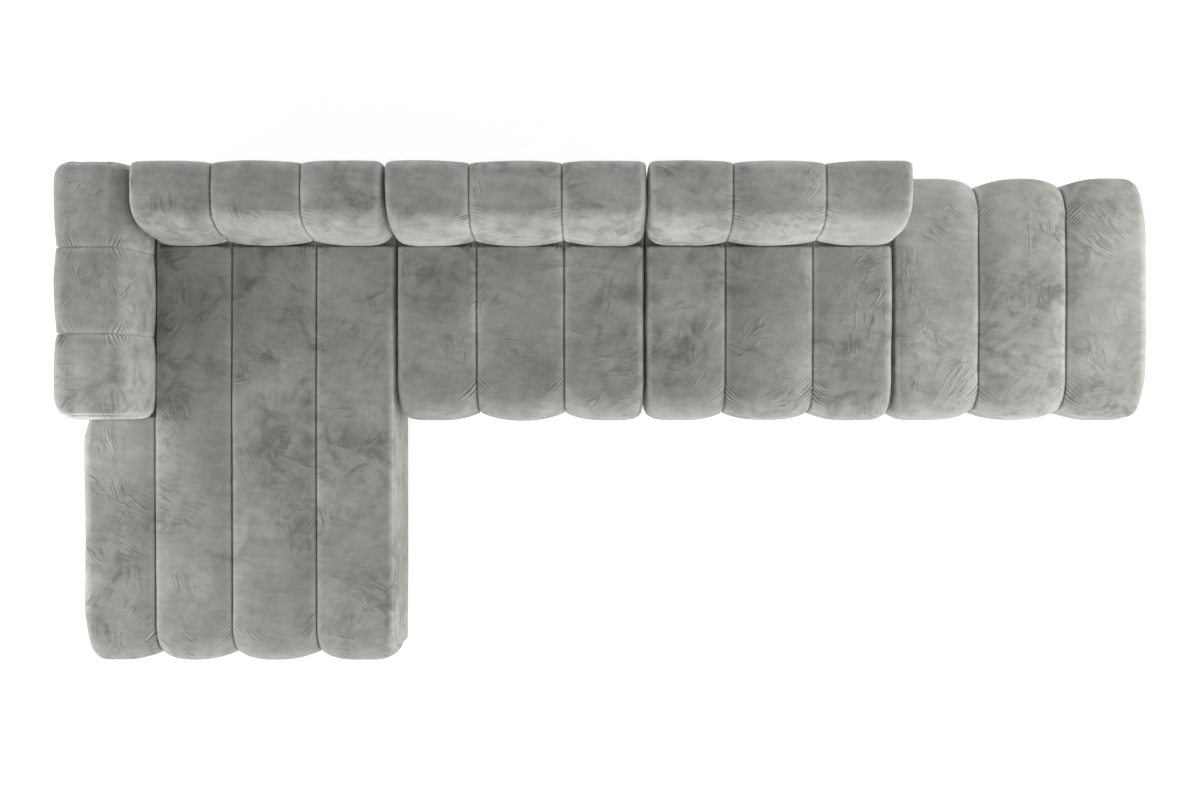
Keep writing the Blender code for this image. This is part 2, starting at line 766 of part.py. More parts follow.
def main():
    clear_scene()
    chaise_seat = (CHAISE_ARM_CHANNEL, CHAISE_INNER_CHANNEL, CHAISE_CENTRE_CHANNEL, CHAISE_EDGE_CHANNEL)
    beside_arm = sum(chaise_seat) - ARM_THICKNESS
    chaise_back = (CHAISE_BACK_INNER_CHANNEL, CHAISE_CENTRE_CHANNEL)
    chaise_back += (beside_arm - sum(chaise_back),)
    middle = (MIDDLE_EDGE_CHANNEL, MIDDLE_CENTRE_CHANNEL, MIDDLE_EDGE_CHANNEL)
    ottoman = (OTTOMAN_EDGE_CHANNEL, OTTOMAN_CENTRE_CHANNEL, OTTOMAN_EDGE_CHANNEL)
    row = (
        ("chaise", chaise_seat, CHAISE_LENGTH, chaise_back, True),
        ("middle_left", middle, BASE_DEPTH, middle, False),
        ("middle_right", middle, BASE_DEPTH, middle, False),
        ("ottoman", ottoman, BASE_DEPTH, (), False),
    )
    total = sum(sum(channels) for _, channels, *_ in row) + MODULE_GAP * (len(row) - 1)
    rear = (CHAISE_LENGTH - BACK_OVERHANG) / 2
    left = -total / 2
    for name, channels, depth, back_channels, has_arm in row:
        is_first, is_last = name == row[0][0], name == row[-1][0]
        module = Module(name, channels, depth, left, back_channels, has_arm, (is_first, is_last))
        links = () if is_last else ((0, 1, "rear"), (1, -1, "front"))
        build_module(module, rear, links)
        left += module.width + MODULE_GAP
    print(f"sofa {total:.3f} m wide")


main()
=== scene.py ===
# %% [markdown]
# # A modular corner sofa in crushed velvet
#
# The sofa stands in one row: a chaise with an arm, two middle modules and an ottoman. Its timber, foam, feet and
# steel links come ready made from the solid model. This lesson dresses them: it sews a channel-quilted velvet
# cover for each base, back and arm, gives every hidden piece a finish, and lights the sofa in a plain studio.
#
# All lengths are in metres, +Z is up, the backs face +Y and the chaise is at -X.

import json
import math

import bpy
import numpy as np
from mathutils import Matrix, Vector


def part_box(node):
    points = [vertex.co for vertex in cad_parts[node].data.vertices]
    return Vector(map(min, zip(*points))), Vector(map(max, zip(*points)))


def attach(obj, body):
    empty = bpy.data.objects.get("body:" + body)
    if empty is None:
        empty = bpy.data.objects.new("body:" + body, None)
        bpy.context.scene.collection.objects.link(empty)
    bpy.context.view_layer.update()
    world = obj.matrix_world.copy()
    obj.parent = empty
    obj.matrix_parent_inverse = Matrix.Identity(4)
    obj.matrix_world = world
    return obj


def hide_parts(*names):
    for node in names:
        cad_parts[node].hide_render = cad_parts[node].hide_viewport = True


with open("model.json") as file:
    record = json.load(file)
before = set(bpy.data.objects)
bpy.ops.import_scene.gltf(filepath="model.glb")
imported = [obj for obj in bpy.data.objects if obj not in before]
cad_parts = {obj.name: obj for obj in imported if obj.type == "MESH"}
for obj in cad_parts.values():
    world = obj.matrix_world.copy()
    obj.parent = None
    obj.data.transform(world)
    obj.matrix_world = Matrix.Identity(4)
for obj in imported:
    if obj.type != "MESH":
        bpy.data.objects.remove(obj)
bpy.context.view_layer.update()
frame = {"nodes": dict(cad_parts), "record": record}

# %% [markdown]
# ## The camera
#
# The picture is taken from straight above, so a cover's height shows only as parallax: the backs are nearer to
# the lens than the seats and look larger. A long lens far away would lose that. The height here is the one at
# which seats and backs keep the sizes they have in the picture, and the lens then follows from the width of the
# sofa in the frame.

# %% Set the camera above the sofa
CAMERA_HEIGHT = 5.3
CAMERA_X = -0.0665
CAMERA_Y = 0.0805
IMAGE_WIDTH = 1200
FOCAL_PIXELS = 1148
SENSOR_MM = 36.0

camera = bpy.data.objects.new("camera", bpy.data.cameras.new("camera"))
bpy.context.scene.collection.objects.link(camera)
camera.location = (CAMERA_X, CAMERA_Y, CAMERA_HEIGHT)
camera.data.sensor_width = SENSOR_MM
camera.data.lens = SENSOR_MM * FOCAL_PIXELS / IMAGE_WIDTH
bpy.context.scene.camera = camera
print(f"lens {camera.data.lens:.2f} mm")

# %% [markdown]
# ## Repeatable noise
#
# Cloth is never regular: its gathers, dents and crowns all vary a little. Blender's textures can do that in a
# material, but the shape itself needs numbers in Python. Value noise is the simplest kind: random values on a
# grid of points, blended smoothly in between. It takes whole arrays at once, and the seed makes every run give
# the same sofa.

# %% Smooth noise on a lattice
LATTICE_SEED = 7
LATTICE_CELLS = 64
LATTICE_START = 17.3
LATTICE = np.random.default_rng(LATTICE_SEED).uniform(-1.0, 1.0, (LATTICE_CELLS,) * 3)


def eased(share):
    """Makes an even rise from 0 to 1 start and end gently."""
    return share * share * (3 - 2 * share)


def smooth_noise(points, size, shift=0.0):
    """Noise from -1 to 1 for an (..., 3) array of points. It changes over about size metres."""
    place = np.asarray(points) / size + LATTICE_START + shift
    cell = np.floor(place).astype(int)
    share = eased(place - cell)
    total = 0.0
    for corner in np.ndindex(2, 2, 2):
        index = (cell + corner) % LATTICE_CELLS
        weight = np.prod(np.where(corner, share, 1 - share), axis=-1)
        total = total + weight * LATTICE[index[..., 0], index[..., 1], index[..., 2]]
    return total


def line_noise(values, size, shift=0.0):
    """The same for one number per point."""
    values = np.asarray(values, float)
    points = np.stack([values, np.full_like(values, size * (shift + 0.5)), np.zeros_like(values)], axis=-1)
    return smooth_noise(points, size)


print("noise sample", round(float(smooth_noise([0.1, 0.2, 0.3], 0.05)), 4))

# %% [markdown]
# ## The outline of a cover
#
# Cut lengthwise through a channel, a cover is a rectangle with round corners: large ones at the top, small ones at
# the hem. Each side also swells a little, because the wadding pushes it out. The outline is worked out side by
# side, and every outline has as many points, so that any two of them can be joined by quads. At a seam the cloth
# is drawn in, so its outline is the same one with each side moved in by an inset. Its corners change as well:
# corner_loss says how much smaller they get for each metre of inset. Below zero they get rounder. The ends of a
# back are drawn in further than its seams, and end_gain makes their corners rounder again. A seat's hem is held:
# it stays on the frame's edge wherever the cloth above it is drawn in.

# %% Spread points along a side
FINE_STEP = 0.003
COARSE_STEP = 0.011
GATHER_ZONE = 0.11
DENSE_ZONE = 0.03
SPREAD_SAMPLES = 2000
LEAST_STEPS = 4


def spread(length, fine_at_start, fine_at_end, dense=()):
    """Shares from 0 to 1 along a side, closer together near an end that has gathers and near the dense places."""
    grid = np.linspace(0.0, 1.0, SPREAD_SAMPLES)
    step = np.full_like(grid, COARSE_STEP)
    if fine_at_start:
        step = np.where(grid * length < GATHER_ZONE, FINE_STEP, step)
    if fine_at_end:
        step = np.where((1 - grid) * length < GATHER_ZONE, FINE_STEP, step)
    for place in dense:
        step = np.where(np.abs(grid * length - place) < DENSE_ZONE, FINE_STEP, step)
    count = np.concatenate([[0.0], np.cumsum(1.0 / step[:-1])]) * length / (len(grid) - 1)
    steps = max(int(round(count[-1])), LEAST_STEPS)
    return np.interp(np.linspace(0.0, count[-1], steps + 1), count, grid)


def corner_steps(radii):
    """Steps on a quarter of an ellipse, as close together as the gathers on it need."""
    return math.ceil(math.pi / 2 * math.hypot(*radii) / math.sqrt(2) / FINE_STEP)


def corner_arc(centre, radii, start_deg, end_deg, steps):
    angles = np.radians(np.linspace(start_deg, end_deg, steps + 1))
    return np.stack([centre[0] + radii[0] * np.cos(angles), centre[1] + radii[1] * np.sin(angles)], axis=-1)


def swollen_side(start, end, shares, outward, swell):
    """A side from start to end that stands proud by swell in its middle and meets the corners smoothly."""
    start, end = np.array(start), np.array(end)
    line = start + shares[:, None] * (end - start)
    return line + (swell * np.sin(np.pi * shares) ** 2)[:, None] * np.array(outward)


print("steps on one gathered metre:", len(spread(1.0, True, True)) - 1)

# %% Points around a swollen rectangle
HEM_STEPS = 5
BOTTOM_STEPS = 8
SMALLEST_RADIUS = 0.008
FLATTEST_HEM = 0.001
LARGEST_CORNER = (0.170, 0.220)
SEAM_DEPTH = 0.022


class Outline:
    """A cover's form along its channels: p runs from -length at the front to 0 at the rear, and z is up."""

    def __init__(
        self, length, hem, top, *, front_corner, rear_corner, hem_radii, swell, corner_loss,
        dense=(), held=False, end_gain=0.0,
    ):
        self.length, self.hem, self.top = length, hem, top
        self.front_corner, self.rear_corner, self.hem_radii = front_corner, rear_corner, hem_radii
        self.swell, self.corner_loss, self.held, self.end_gain = swell, np.array(corner_loss), held, end_gain
        self.front_steps, self.rear_steps = corner_steps(front_corner), corner_steps(rear_corner)
        self.front_shares = spread(top - hem - front_corner[1] - hem_radii[0][1], False, True)
        dense = [place + length - front_corner[0] for place in dense]
        self.top_shares = spread(length - front_corner[0] - rear_corner[0], True, True, dense)
        self.rear_shares = spread(top - hem - rear_corner[1] - hem_radii[1][1], True, False)

    def hem_corner(self, radii, side_in, hem_in):
        """Where the hem is held straight by the frame, the corner above it is flatter at a drawn-in place."""
        radii = np.array(radii) - hem_in
        radii[0] -= side_in if self.held else 0.0
        return np.maximum(radii, (FLATTEST_HEM if self.held else SMALLEST_RADIUS, SMALLEST_RADIUS))

    def points(self, insets):
        """An (n, 2) array of (p, z) for one section, from the front hem over the top and back below."""
        front_in, rear_in, top_in, hem_in = insets
        front_swell, rear_swell, rise = self.swell
        wall = -self.length + front_in + front_swell
        back = -rear_in - rear_swell
        shoulder = self.top - top_in - rise
        low = self.hem + hem_in

        def corner(radii, side_in):
            lost = np.array([side_in, top_in]) * self.corner_loss
            lost[0] -= self.end_gain * max(side_in - SEAM_DEPTH, 0.0)
            return np.clip(np.array(radii) - lost, SMALLEST_RADIUS, LARGEST_CORNER)

        front_top = corner(self.front_corner, front_in)
        rear_top = corner(self.rear_corner, rear_in)
        front_hem = self.hem_corner(self.hem_radii[0], front_in + front_swell, hem_in)
        rear_hem = self.hem_corner(self.hem_radii[1], rear_in + rear_swell, hem_in)
        front_side = swollen_side(
            (wall, low + front_hem[1]), (wall, shoulder - front_top[1]), self.front_shares, (-1, 0), front_swell
        )
        top_side = swollen_side(
            (wall + front_top[0], shoulder), (back - rear_top[0], shoulder), self.top_shares, (0, 1), rise
        )
        rear_side = swollen_side(
            (back, shoulder - rear_top[1]), (back, low + rear_hem[1]), self.rear_shares, (1, 0), rear_swell
        )
        bottom = np.linspace((back - rear_hem[0], low), (wall + front_hem[0], low), BOTTOM_STEPS + 1)
        front_centre, rear_centre = (wall + front_hem[0], low + front_hem[1]), (back - rear_hem[0], low + rear_hem[1])
        return np.concatenate(
            [
                corner_arc(front_centre, front_hem, 270, 180, HEM_STEPS),
                front_side[1:-1],
                corner_arc((wall + front_top[0], shoulder - front_top[1]), front_top, 180, 90, self.front_steps),
                top_side[1:-1],
                corner_arc((back - rear_top[0], shoulder - rear_top[1]), rear_top, 90, 0, self.rear_steps),
                rear_side[1:-1],
                corner_arc(rear_centre, rear_hem, 0, -90, HEM_STEPS),
                bottom[1:-1],
            ]
        )


# %% [markdown]
# ## The channels
#
# A channel is a tube of wadding between two seams. Seen from its end it is a pillow: steep beside the seam and
# almost flat on top. Its front end is softer still, a shallow V at each seam. The outer edges of a cover turn
# down in a quarter round to a plain panel that bulges slightly. One more seam runs round the panel. How far round
# the edge it lies is an angle: 0 is on top, 90 is where the panel stands upright.

# %% Seams and edges
TOP_POWERS = (3.6, 1.2)
FRONT_POWERS = (2.4, 1.1)
ROUND_POWERS = (2.0, 2.0)


def pillow(share, powers):
    """How far a channel stands up, from 0 at its seam to 1 in its middle."""
    share = min(share, 1.0)
    return (1 - (1 - share) ** powers[0]) ** (1 / powers[1])


class Edge:
    """How a cover narrows near its end, within reach, and then turns down into the end panel. near and turn are
    (front, rear, top), and seam_deg says how far round the edge the panel's seam lies."""

    def __init__(self, near, reach, powers, turn, rounding, seam_deg):
        self.near, self.reach, self.powers = np.array(near), reach, powers
        self.turn, self.rounding, self.seam = np.array(turn), rounding, math.radians(seam_deg)

    def insets(self, distance, turned):
        return self.near * (1 - pillow(distance / self.reach, self.powers)) + self.turn * turned


class Cut:
    """How a cover is drawn in at its seams, as (front, rear, top), and the form of its end panels."""

    def __init__(self, seam, hem_turn, bulge):
        self.seam, self.hem_turn, self.bulge = np.array(seam), hem_turn, bulge

    def insets(self, seam_share=None, edge=None, distance=0.0, turned=0.0):
        """(front, rear, top, hem) for a section. turned is from 0 on the top to 1 where the panel starts."""
        total = np.zeros(3)
        if seam_share is not None:
            front, top = pillow(seam_share, FRONT_POWERS), pillow(seam_share, TOP_POWERS)
            total += self.seam * (1 - np.array([front, front, top]))
        if edge is not None:
            total += edge.insets(distance, turned)
        return np.array([*total, self.hem_turn * turned])


# %% Sections across a cover
FROM_SEAM = np.array(
    [0.9, 2, 3.5, 5.5, 8, 11, 14.5, 18, 22, 26, 30.5, 36, 42, 49, 57, 66, 76, 87, 99, 112, 126, 141, 157, 172]
) / 1000
CLEAR_OF_MIDDLE = 0.004
CLEAR_OF_EDGE = 0.003
EDGE_STEP = 0.005
NEAR_EDGE_SEAM = np.array([-0.009, -0.0055, -0.003, -0.0015, 0.0, 0.0015, 0.003, 0.0055, 0.009])
LEAST_APART = 0.001
PANEL_RINGS = (0.994, 0.987, 0.976, 0.955, 0.92, 0.87, 0.79, 0.69, 0.58, 0.46, 0.33, 0.20, 0.08)
FAR_AWAY = 1.0


def end_sections(cut, half_height, edge):
    """(distance from the end, insets, size, distance from the edge seam), from the panel's middle to the top."""
    rows = []
    around = edge.rounding * (math.pi / 2 - edge.seam)
    for ring in reversed(PANEL_RINGS):
        place = cut.bulge * (1 - math.sqrt(1 - ring**2))
        rows.append((place, cut.insets(None, edge, 0.0, 1.0), ring, -around - (1 - ring) * half_height))
    turns = np.linspace(0, math.pi / 2, math.ceil(edge.rounding * math.pi / 2 / EDGE_STEP) + 1)
    close = edge.seam + NEAR_EDGE_SEAM / edge.rounding
    close = close[(close >= 0) & (close <= math.pi / 2)]
    apart = np.abs(turns[:, None] - close[None, :]).min(axis=1) * edge.rounding
    turns = np.sort(np.concatenate([turns[apart > LEAST_APART], close]))[::-1]
    for turn in turns:
        place = cut.bulge + edge.rounding * (1 - math.sin(turn))
        insets = cut.insets(None, edge, place - cut.bulge, 1 - math.cos(turn))
        rows.append((place, insets, 1.0, edge.rounding * (edge.seam - turn)))
    return rows


def half_channel(channel, cut, edge):
    """(distance, insets) for the sections on half a channel, from its seam, or from the cover's end at an edge."""
    half = channel / 2
    near = [distance for distance in FROM_SEAM if distance < half - CLEAR_OF_MIDDLE]
    if edge is None:
        return [(distance, cut.insets(distance / half)) for distance in near]
    clear = edge.rounding + cut.bulge + CLEAR_OF_EDGE
    return [(distance, cut.insets(None, edge, distance)) for distance in near if distance > clear]


def sections_across(channels, cut, edges, half_height):
    """(place across, insets, size on the end panel, distance from the edge seam) for each section."""
    width = sum(channels)
    rows, last_rows = (end_sections(cut, half_height, edge) for edge in edges)
    left, last = 0.0, len(channels) - 1
    for number, channel in enumerate(channels):
        first_half = half_channel(channel, cut, edges[0] if number == 0 else None)
        last_half = half_channel(channel, cut, edges[1] if number == last else None)
        rows += [(left + distance, insets, 1.0, FAR_AWAY) for distance, insets in first_half]
        rows.append((left + channel / 2, cut.insets(), 1.0, FAR_AWAY))
        rows += [(left + channel - distance, insets, 1.0, FAR_AWAY) for distance, insets in reversed(last_half)]
        if number < last:
            rows.append((left + channel, cut.insets(0.0), 1.0, FAR_AWAY))
        left += channel
    rows += [(width - place, insets, size, from_seam) for place, insets, size, from_seam in reversed(last_rows)]
    return rows


def grid_of(form, channels, cut, edges):
    """(points, distances): points (sections, points around, 3) as (across, p, z), and how far each section is
    from the seam round an end panel. edges holds the left and the right edge."""
    middle = np.array([-form.length / 2, (form.hem + form.top) / 2])
    grid, from_edge_seam = [], []
    for place, insets, size, distance in sections_across(channels, cut, edges, (form.top - form.hem) / 2):
        ring = middle + size * (form.points(insets) - middle)
        grid.append(np.column_stack([np.full(len(ring), place), ring]))
        from_edge_seam.append(distance)
    return np.array(grid), np.array(from_edge_seam)


# %% [markdown]
# ## Gathers
#
# Where a seam turns a corner the channel's cloth is longer than the seam that holds it, so it puckers: short
# ridges fan out from the seam towards the corner. A cloth solver makes them only on a very fine mesh. Here they
# are narrow ridges across the seam, with an uneven spacing, that start beside the stitches, fade into the
# channel, and are strong only near the corners.

# %% Gathers, normals and lengths
TINY = 1e-12


class Gather:
    """How the cloth puckers beside a seam: ridges this far apart, this long, this high and this slanted. line is the
    painted light on the seam itself, from -1, painted shade, to 1, a painted highlight. Each corner is (direction,
    offset, reach, amount)."""

    def __init__(self, spacing, reach, height, slant, groove, line, corners):
        self.spacing, self.reach, self.height, self.slant = spacing, reach, height, slant
        self.groove, self.line, self.corners = groove, line, corners


def normals_of(grid):
    """Outward normals of a closed grid."""
    around = np.roll(grid, -1, axis=1) - np.roll(grid, 1, axis=1)
    across = np.gradient(grid, axis=0)
    normal = np.cross(around, across)
    length = np.linalg.norm(normal, axis=-1, keepdims=True)
    normal = normal / np.maximum(length, TINY)
    outward = grid - grid.mean(axis=(0, 1))
    return normal * np.sign((normal * outward).sum())


def along_of(grid):
    """Length around the outline at each point, measured on the middle section from the front hem."""
    ring = grid[len(grid) // 2]
    steps = np.linalg.norm(np.diff(ring, axis=0), axis=1)
    return np.concatenate([[0.0], np.cumsum(steps)])


# %% Ridges beside a seam
STITCH_REACH = 0.003
CREST_POWER = 1.3
CREST_MEAN = 0.32
MOST_STRENGTH = 1.4
STRENGTH_NOISE = (0.85, 1.10, 0.04)
SPACING_NOISE = (0.0, 0.8, 2.6)
HEIGHT_NOISE = (0.75, 0.60, 1.7)
LENGTH_NOISE = (1.0, 0.5, 1.3)


def uneven(noise, values, shift):
    """A number for each value that varies along a seam. noise is (mean, swing, size)."""
    mean, swing, size = noise
    return mean + swing * line_noise(values, size, shift)


def ridges(along, distance, gather, places, shift):
    """(heights, painted light) of the puckers on one side of one seam. distance is from the seam, along runs with it.
    The painted light is above zero on a crest, where it paints a highlight, and below zero in a valley, where it
    paints shade."""
    strength = np.zeros_like(along)
    slant = np.zeros_like(along)
    for place, (direction, offset, reach, amount) in zip(places, gather.corners):
        near = amount * np.exp(-(((along - place + direction * offset) / reach) ** 2))
        strength += near
        slant += direction * near
    slant = np.clip(slant, -1, 1) * gather.slant
    strength = np.clip(strength * uneven(STRENGTH_NOISE, along, shift), 0, MOST_STRENGTH)
    phase = (along[None, :] - slant[None, :] * distance) / gather.spacing
    phase = phase + uneven(SPACING_NOISE, phase, shift + 0.4)
    crest = (1 - np.abs(np.sin(np.pi * phase))) ** CREST_POWER
    crest = crest * uneven(HEIGHT_NOISE, phase, shift + 0.8)
    length = gather.reach * uneven(LENGTH_NOISE, phase, shift + 1.2)
    fade = np.exp(-((distance / length) ** 2.0)) * (1 - np.exp(-((distance / STITCH_REACH) ** 2)))
    fade = fade * strength[None, :]
    return gather.height * crest * fade, (crest - CREST_MEAN) * fade


# %% All the seams of a cover
# The rim below is a painted highlight beside each seam. Each Gather's line paints the seam itself: painted shade on
# seats and backs, a painted highlight on the arm.
PAINTED_RIM_HIGHLIGHT = 0.22
RIM_PLACE = 0.011
RIM_WIDTH = 0.010
GROOVE_DEPTH = 0.0035
GROOVE_WIDTH = 0.0032
EDGE_GATHER_SHARE = 0.35
SEAM_SHIFT = 3.1
SIDE_SHIFT = 1.7
END_SHIFTS = (50.3, 57.9)


def painted_seam_light(distance, gather):
    """Painted light across a seam: in the middle, the seam's own painted light, which is painted shade on seats and
    backs and a painted highlight on the arm, and on either side a painted highlight rim.
    """
    line = gather.line * np.exp(-((distance / GROOVE_WIDTH) ** 2))
    return line + PAINTED_RIM_HIGHLIGHT * np.exp(-(((np.abs(distance) - RIM_PLACE) / RIM_WIDTH) ** 2))


def sewn(grid, from_edge_seam, seams, places, gather, seed):
    """(heights, painted light) of all puckers on a cover, with the grooves of its seams and the painted light along
    them.
    """
    along = along_of(grid)
    across = grid[:, :, 0]
    height, painted_light = np.zeros(grid.shape[:2]), np.zeros(grid.shape[:2])
    for number, seam in enumerate(seams):
        height -= gather.groove * np.exp(-(((across - seam) / GROOVE_WIDTH) ** 2))
        painted_light += painted_seam_light(across - seam, gather)
        for side in (-1, 1):
            distance = side * (across - seam)
            shift = seed + SEAM_SHIFT * number + SIDE_SHIFT * side
            rise, found = ridges(along, np.maximum(distance, 0), gather, places, shift)
            height += np.where(distance > 0, rise, 0.0)
            painted_light += np.where(distance > 0, found, 0.0)
    at_end = np.abs(from_edge_seam)[:, None]
    near_end = at_end < FAR_AWAY
    for shift, is_this_end in zip(END_SHIFTS, (across < across.mean(), across >= across.mean())):
        rise, found = ridges(along, np.broadcast_to(at_end, across.shape), gather, places, seed + shift)
        height += np.where(near_end & is_this_end, rise * EDGE_GATHER_SHARE, 0.0)
        painted_light += np.where(near_end & is_this_end, found * EDGE_GATHER_SHARE, 0.0)
    height -= GROOVE_DEPTH * np.exp(-((at_end / GROOVE_WIDTH) ** 2))
    return height, np.clip(painted_light + painted_seam_light(at_end, gather), -1, 1)


# %% [markdown]
# ## From grid to object
#
# A cover leaves numpy as one mesh: quads between neighbouring sections, and a small cap in the middle of each end
# panel.

# %% Build a mesh from a grid
def mesh_object(name, points, faces):
    """A new mesh in the scene, with any face that can't be right taken out."""
    mesh = bpy.data.meshes.new(name)
    mesh.from_pydata(points, [], faces)
    mesh.validate()
    obj = bpy.data.objects.new(name, mesh)
    bpy.context.scene.collection.objects.link(obj)
    return obj


def signed_volume(grid):
    """Six times the volume that the quads enclose, positive when they face out."""
    right = np.roll(grid, -1, axis=1)
    a, b, c, d = grid[:-1], right[:-1], right[1:], grid[1:]
    return float((np.cross(a, b) * c).sum() + (np.cross(a, c) * d).sum())


def skin_object(name, grid, painted_light):
    """A closed mesh from a grid of sections, with the two end caps. It keeps the painted light values, painted
    highlights and painted shade, for its finish.
    """
    count, around = grid.shape[:2]
    index = np.arange(count * around).reshape(count, around)
    right = np.roll(index, -1, axis=1)
    quads = np.stack([index[:-1], right[:-1], right[1:], index[1:]], axis=-1).reshape(-1, 4)
    faces = quads.tolist() + [index[0][::-1].tolist(), index[-1].tolist()]
    cover = mesh_object(name, grid.reshape(-1, 3).tolist(), faces)
    if signed_volume(grid) < 0:
        cover.data.flip_normals()
    cover.data.shade_smooth()
    cover.data.attributes.new("painted_light", "FLOAT", "POINT").data.foreach_set("value", painted_light.ravel())
    return cover


# %% [markdown]
# ## Crushed velvet
#
# Velvet is cut pile. Seen along the pile it is dark, seen across it it shines, and wherever a hand has pressed it the
# pile leans another way and the tone changes. So the finish has three parts: a sheen for the bright rims on every
# edge that turns away, partly the shader's own sheen and partly a painted sheen that lightens the base colour the
# more the surface turns from the camera; broad and small patches of lighter and darker pile; and fine streaks where
# the pile has been brushed or creased. The patches come from noise in the cover's own coordinates, so they stay put
# when the module moves. The painted light values that each mesh keeps then paint highlights on the crests of its
# gathers and beside its seams. They paint shade in the valleys of its gathers and, on seats and backs, in the seam
# lines.

# %% Node helpers
def new_material(name):
    """(material, its nodes, a function that links two sockets, its Principled shader)"""
    made = bpy.data.materials.new(name)
    made.use_nodes = True
    tree = made.node_tree
    return made, tree.nodes, tree.links.new, tree.nodes["Principled BSDF"]


def noise_node(nodes, link, vector, scale, detail, roughness=0.5, distortion=0.0):
    node = nodes.new("ShaderNodeTexNoise")
    node.inputs["Scale"].default_value = scale
    node.inputs["Detail"].default_value = detail
    node.inputs["Roughness"].default_value = roughness
    node.inputs["Distortion"].default_value = distortion
    link(vector, node.inputs["Vector"])
    return node.outputs["Fac"]


def turned(nodes, link, vector, rotation_deg, scale, shift=(0, 0, 0)):
    """Coordinates that are moved and turned, and only then stretched. One Mapping node stretches first."""
    turn = nodes.new("ShaderNodeMapping")
    turn.inputs["Location"].default_value = shift
    turn.inputs["Rotation"].default_value = [math.radians(angle) for angle in rotation_deg]
    link(vector, turn.inputs["Vector"])
    stretch = nodes.new("ShaderNodeMapping")
    stretch.inputs["Scale"].default_value = scale
    link(turn.outputs["Vector"], stretch.inputs["Vector"])
    return stretch.outputs["Vector"]


def remap(nodes, link, value, low, high, to_low=0.0, to_high=1.0):
    node = nodes.new("ShaderNodeMapRange")
    node.interpolation_type = "SMOOTHSTEP"
    node.inputs["From Min"].default_value = low
    node.inputs["From Max"].default_value = high
    node.inputs["To Min"].default_value = to_low
    node.inputs["To Max"].default_value = to_high
    link(value, node.inputs["Value"])
    return node.outputs["Result"]


def math_node(nodes, link, operation, *values):
    node = nodes.new("ShaderNodeMath")
    node.operation = operation
    for socket, value in zip(node.inputs, values):
        if isinstance(value, (int, float)):
            socket.default_value = value
        else:
            link(value, socket)
    return node.outputs["Value"]


def ramp(nodes, link, value, stops):
    """A colour ramp from (place, colour) stops."""
    node = nodes.new("ShaderNodeValToRGB")
    elements = node.color_ramp.elements
    while len(elements) < len(stops):
        elements.new(0.5)
    for element, (place, colour) in zip(elements, stops):
        element.position = place
        element.color = (*colour, 1.0)
    link(value, node.inputs["Fac"])
    return node.outputs["Color"]


def bump(nodes, link, height, distance, strength=1.0, normal=None):
    node = nodes.new("ShaderNodeBump")
    node.inputs["Strength"].default_value = strength
    node.inputs["Distance"].default_value = distance
    link(height, node.inputs["Height"])
    if normal:
        link(normal, node.inputs["Normal"])
    return node.outputs["Normal"]


# %% Crush marks
STROKES = ((34, 3.1), (-52, 5.3), (84, 7.9), (-14, 11.7))
STROKE_STRETCH = (9.0, 28.0, 14.0)


def strokes(nodes, link, place, turn_deg, shift):
    """A few groups of parallel crush marks in one direction, as a height from 0 to 1."""
    moved = (shift, shift * 0.7, shift * 0.3)
    along = turned(nodes, link, place, (0, 0, turn_deg), STROKE_STRETCH, moved)
    lines = noise_node(nodes, link, along, 1.0, 2.0, 0.5, 1.4)
    lines = remap(nodes, link, lines, 0.44, 0.72)
    where = noise_node(nodes, link, turned(nodes, link, place, (0, 0, 0), (1, 1, 1), moved), 4.2, 2, 0.5, 0.2)
    return math_node(nodes, link, "MULTIPLY", lines, remap(nodes, link, where, 0.55, 0.70))


def crush_marks(nodes, link, place):
    """The marks in all directions together."""
    marks = None
    for turn_deg, shift in STROKES:
        found = strokes(nodes, link, place, turn_deg, shift)
        marks = found if marks is None else math_node(nodes, link, "MAXIMUM", marks, found)
    return marks


# %% Patches of pile
MIDDLE_TONE = 0.57
BROAD_SHARE = 0.9
SMEAR_SHARE = 0.55
BRUSH_SHARE = 0.35
SMUDGE_SHARE = -0.36
MARK_SHARE = -0.24


def pile_tone(nodes, link, place, marks):
    """How light the pile is, from 0 to 1: broad patches, smears and brushed streaks, less the smudges and marks."""
    broad = noise_node(nodes, link, place, 2.6, 2, 0.5, 0.1)
    smear = noise_node(nodes, link, turned(nodes, link, place, (0, 0, 8), (13, 30, 22)), 1.0, 3, 0.55, 0.5)
    upright = turned(nodes, link, place, (0, 0, -70), (9, 26, 16), (3, 5, 1))
    brush = noise_node(nodes, link, upright, 1.0, 3, 0.55, 0.4)
    tone = MIDDLE_TONE
    for noise, share in ((broad, BROAD_SHARE), (smear, SMEAR_SHARE), (brush, BRUSH_SHARE)):
        centred = math_node(nodes, link, "SUBTRACT", noise, 0.5)
        tone = math_node(nodes, link, "MULTIPLY_ADD", centred, share, tone)
    smudge = remap(nodes, link, noise_node(nodes, link, place, 8.5, 3.5, 0.55, 1.0), 0.43, 0.70)
    crushed = remap(nodes, link, noise_node(nodes, link, place, 1.9, 2, 0.5, 0.4), 0.42, 0.60, 0.1, 1.0)
    smudge = math_node(nodes, link, "MULTIPLY", smudge, crushed)
    tone = math_node(nodes, link, "MULTIPLY_ADD", smudge, SMUDGE_SHARE, tone)
    return math_node(nodes, link, "MULTIPLY_ADD", marks, MARK_SHARE, tone)


# %% Mix the velvet
PILE_DARK = (0.160, 0.160, 0.148)
PILE_MIDDLE = (0.261, 0.259, 0.243)
PILE_LIGHT = (0.374, 0.366, 0.347)
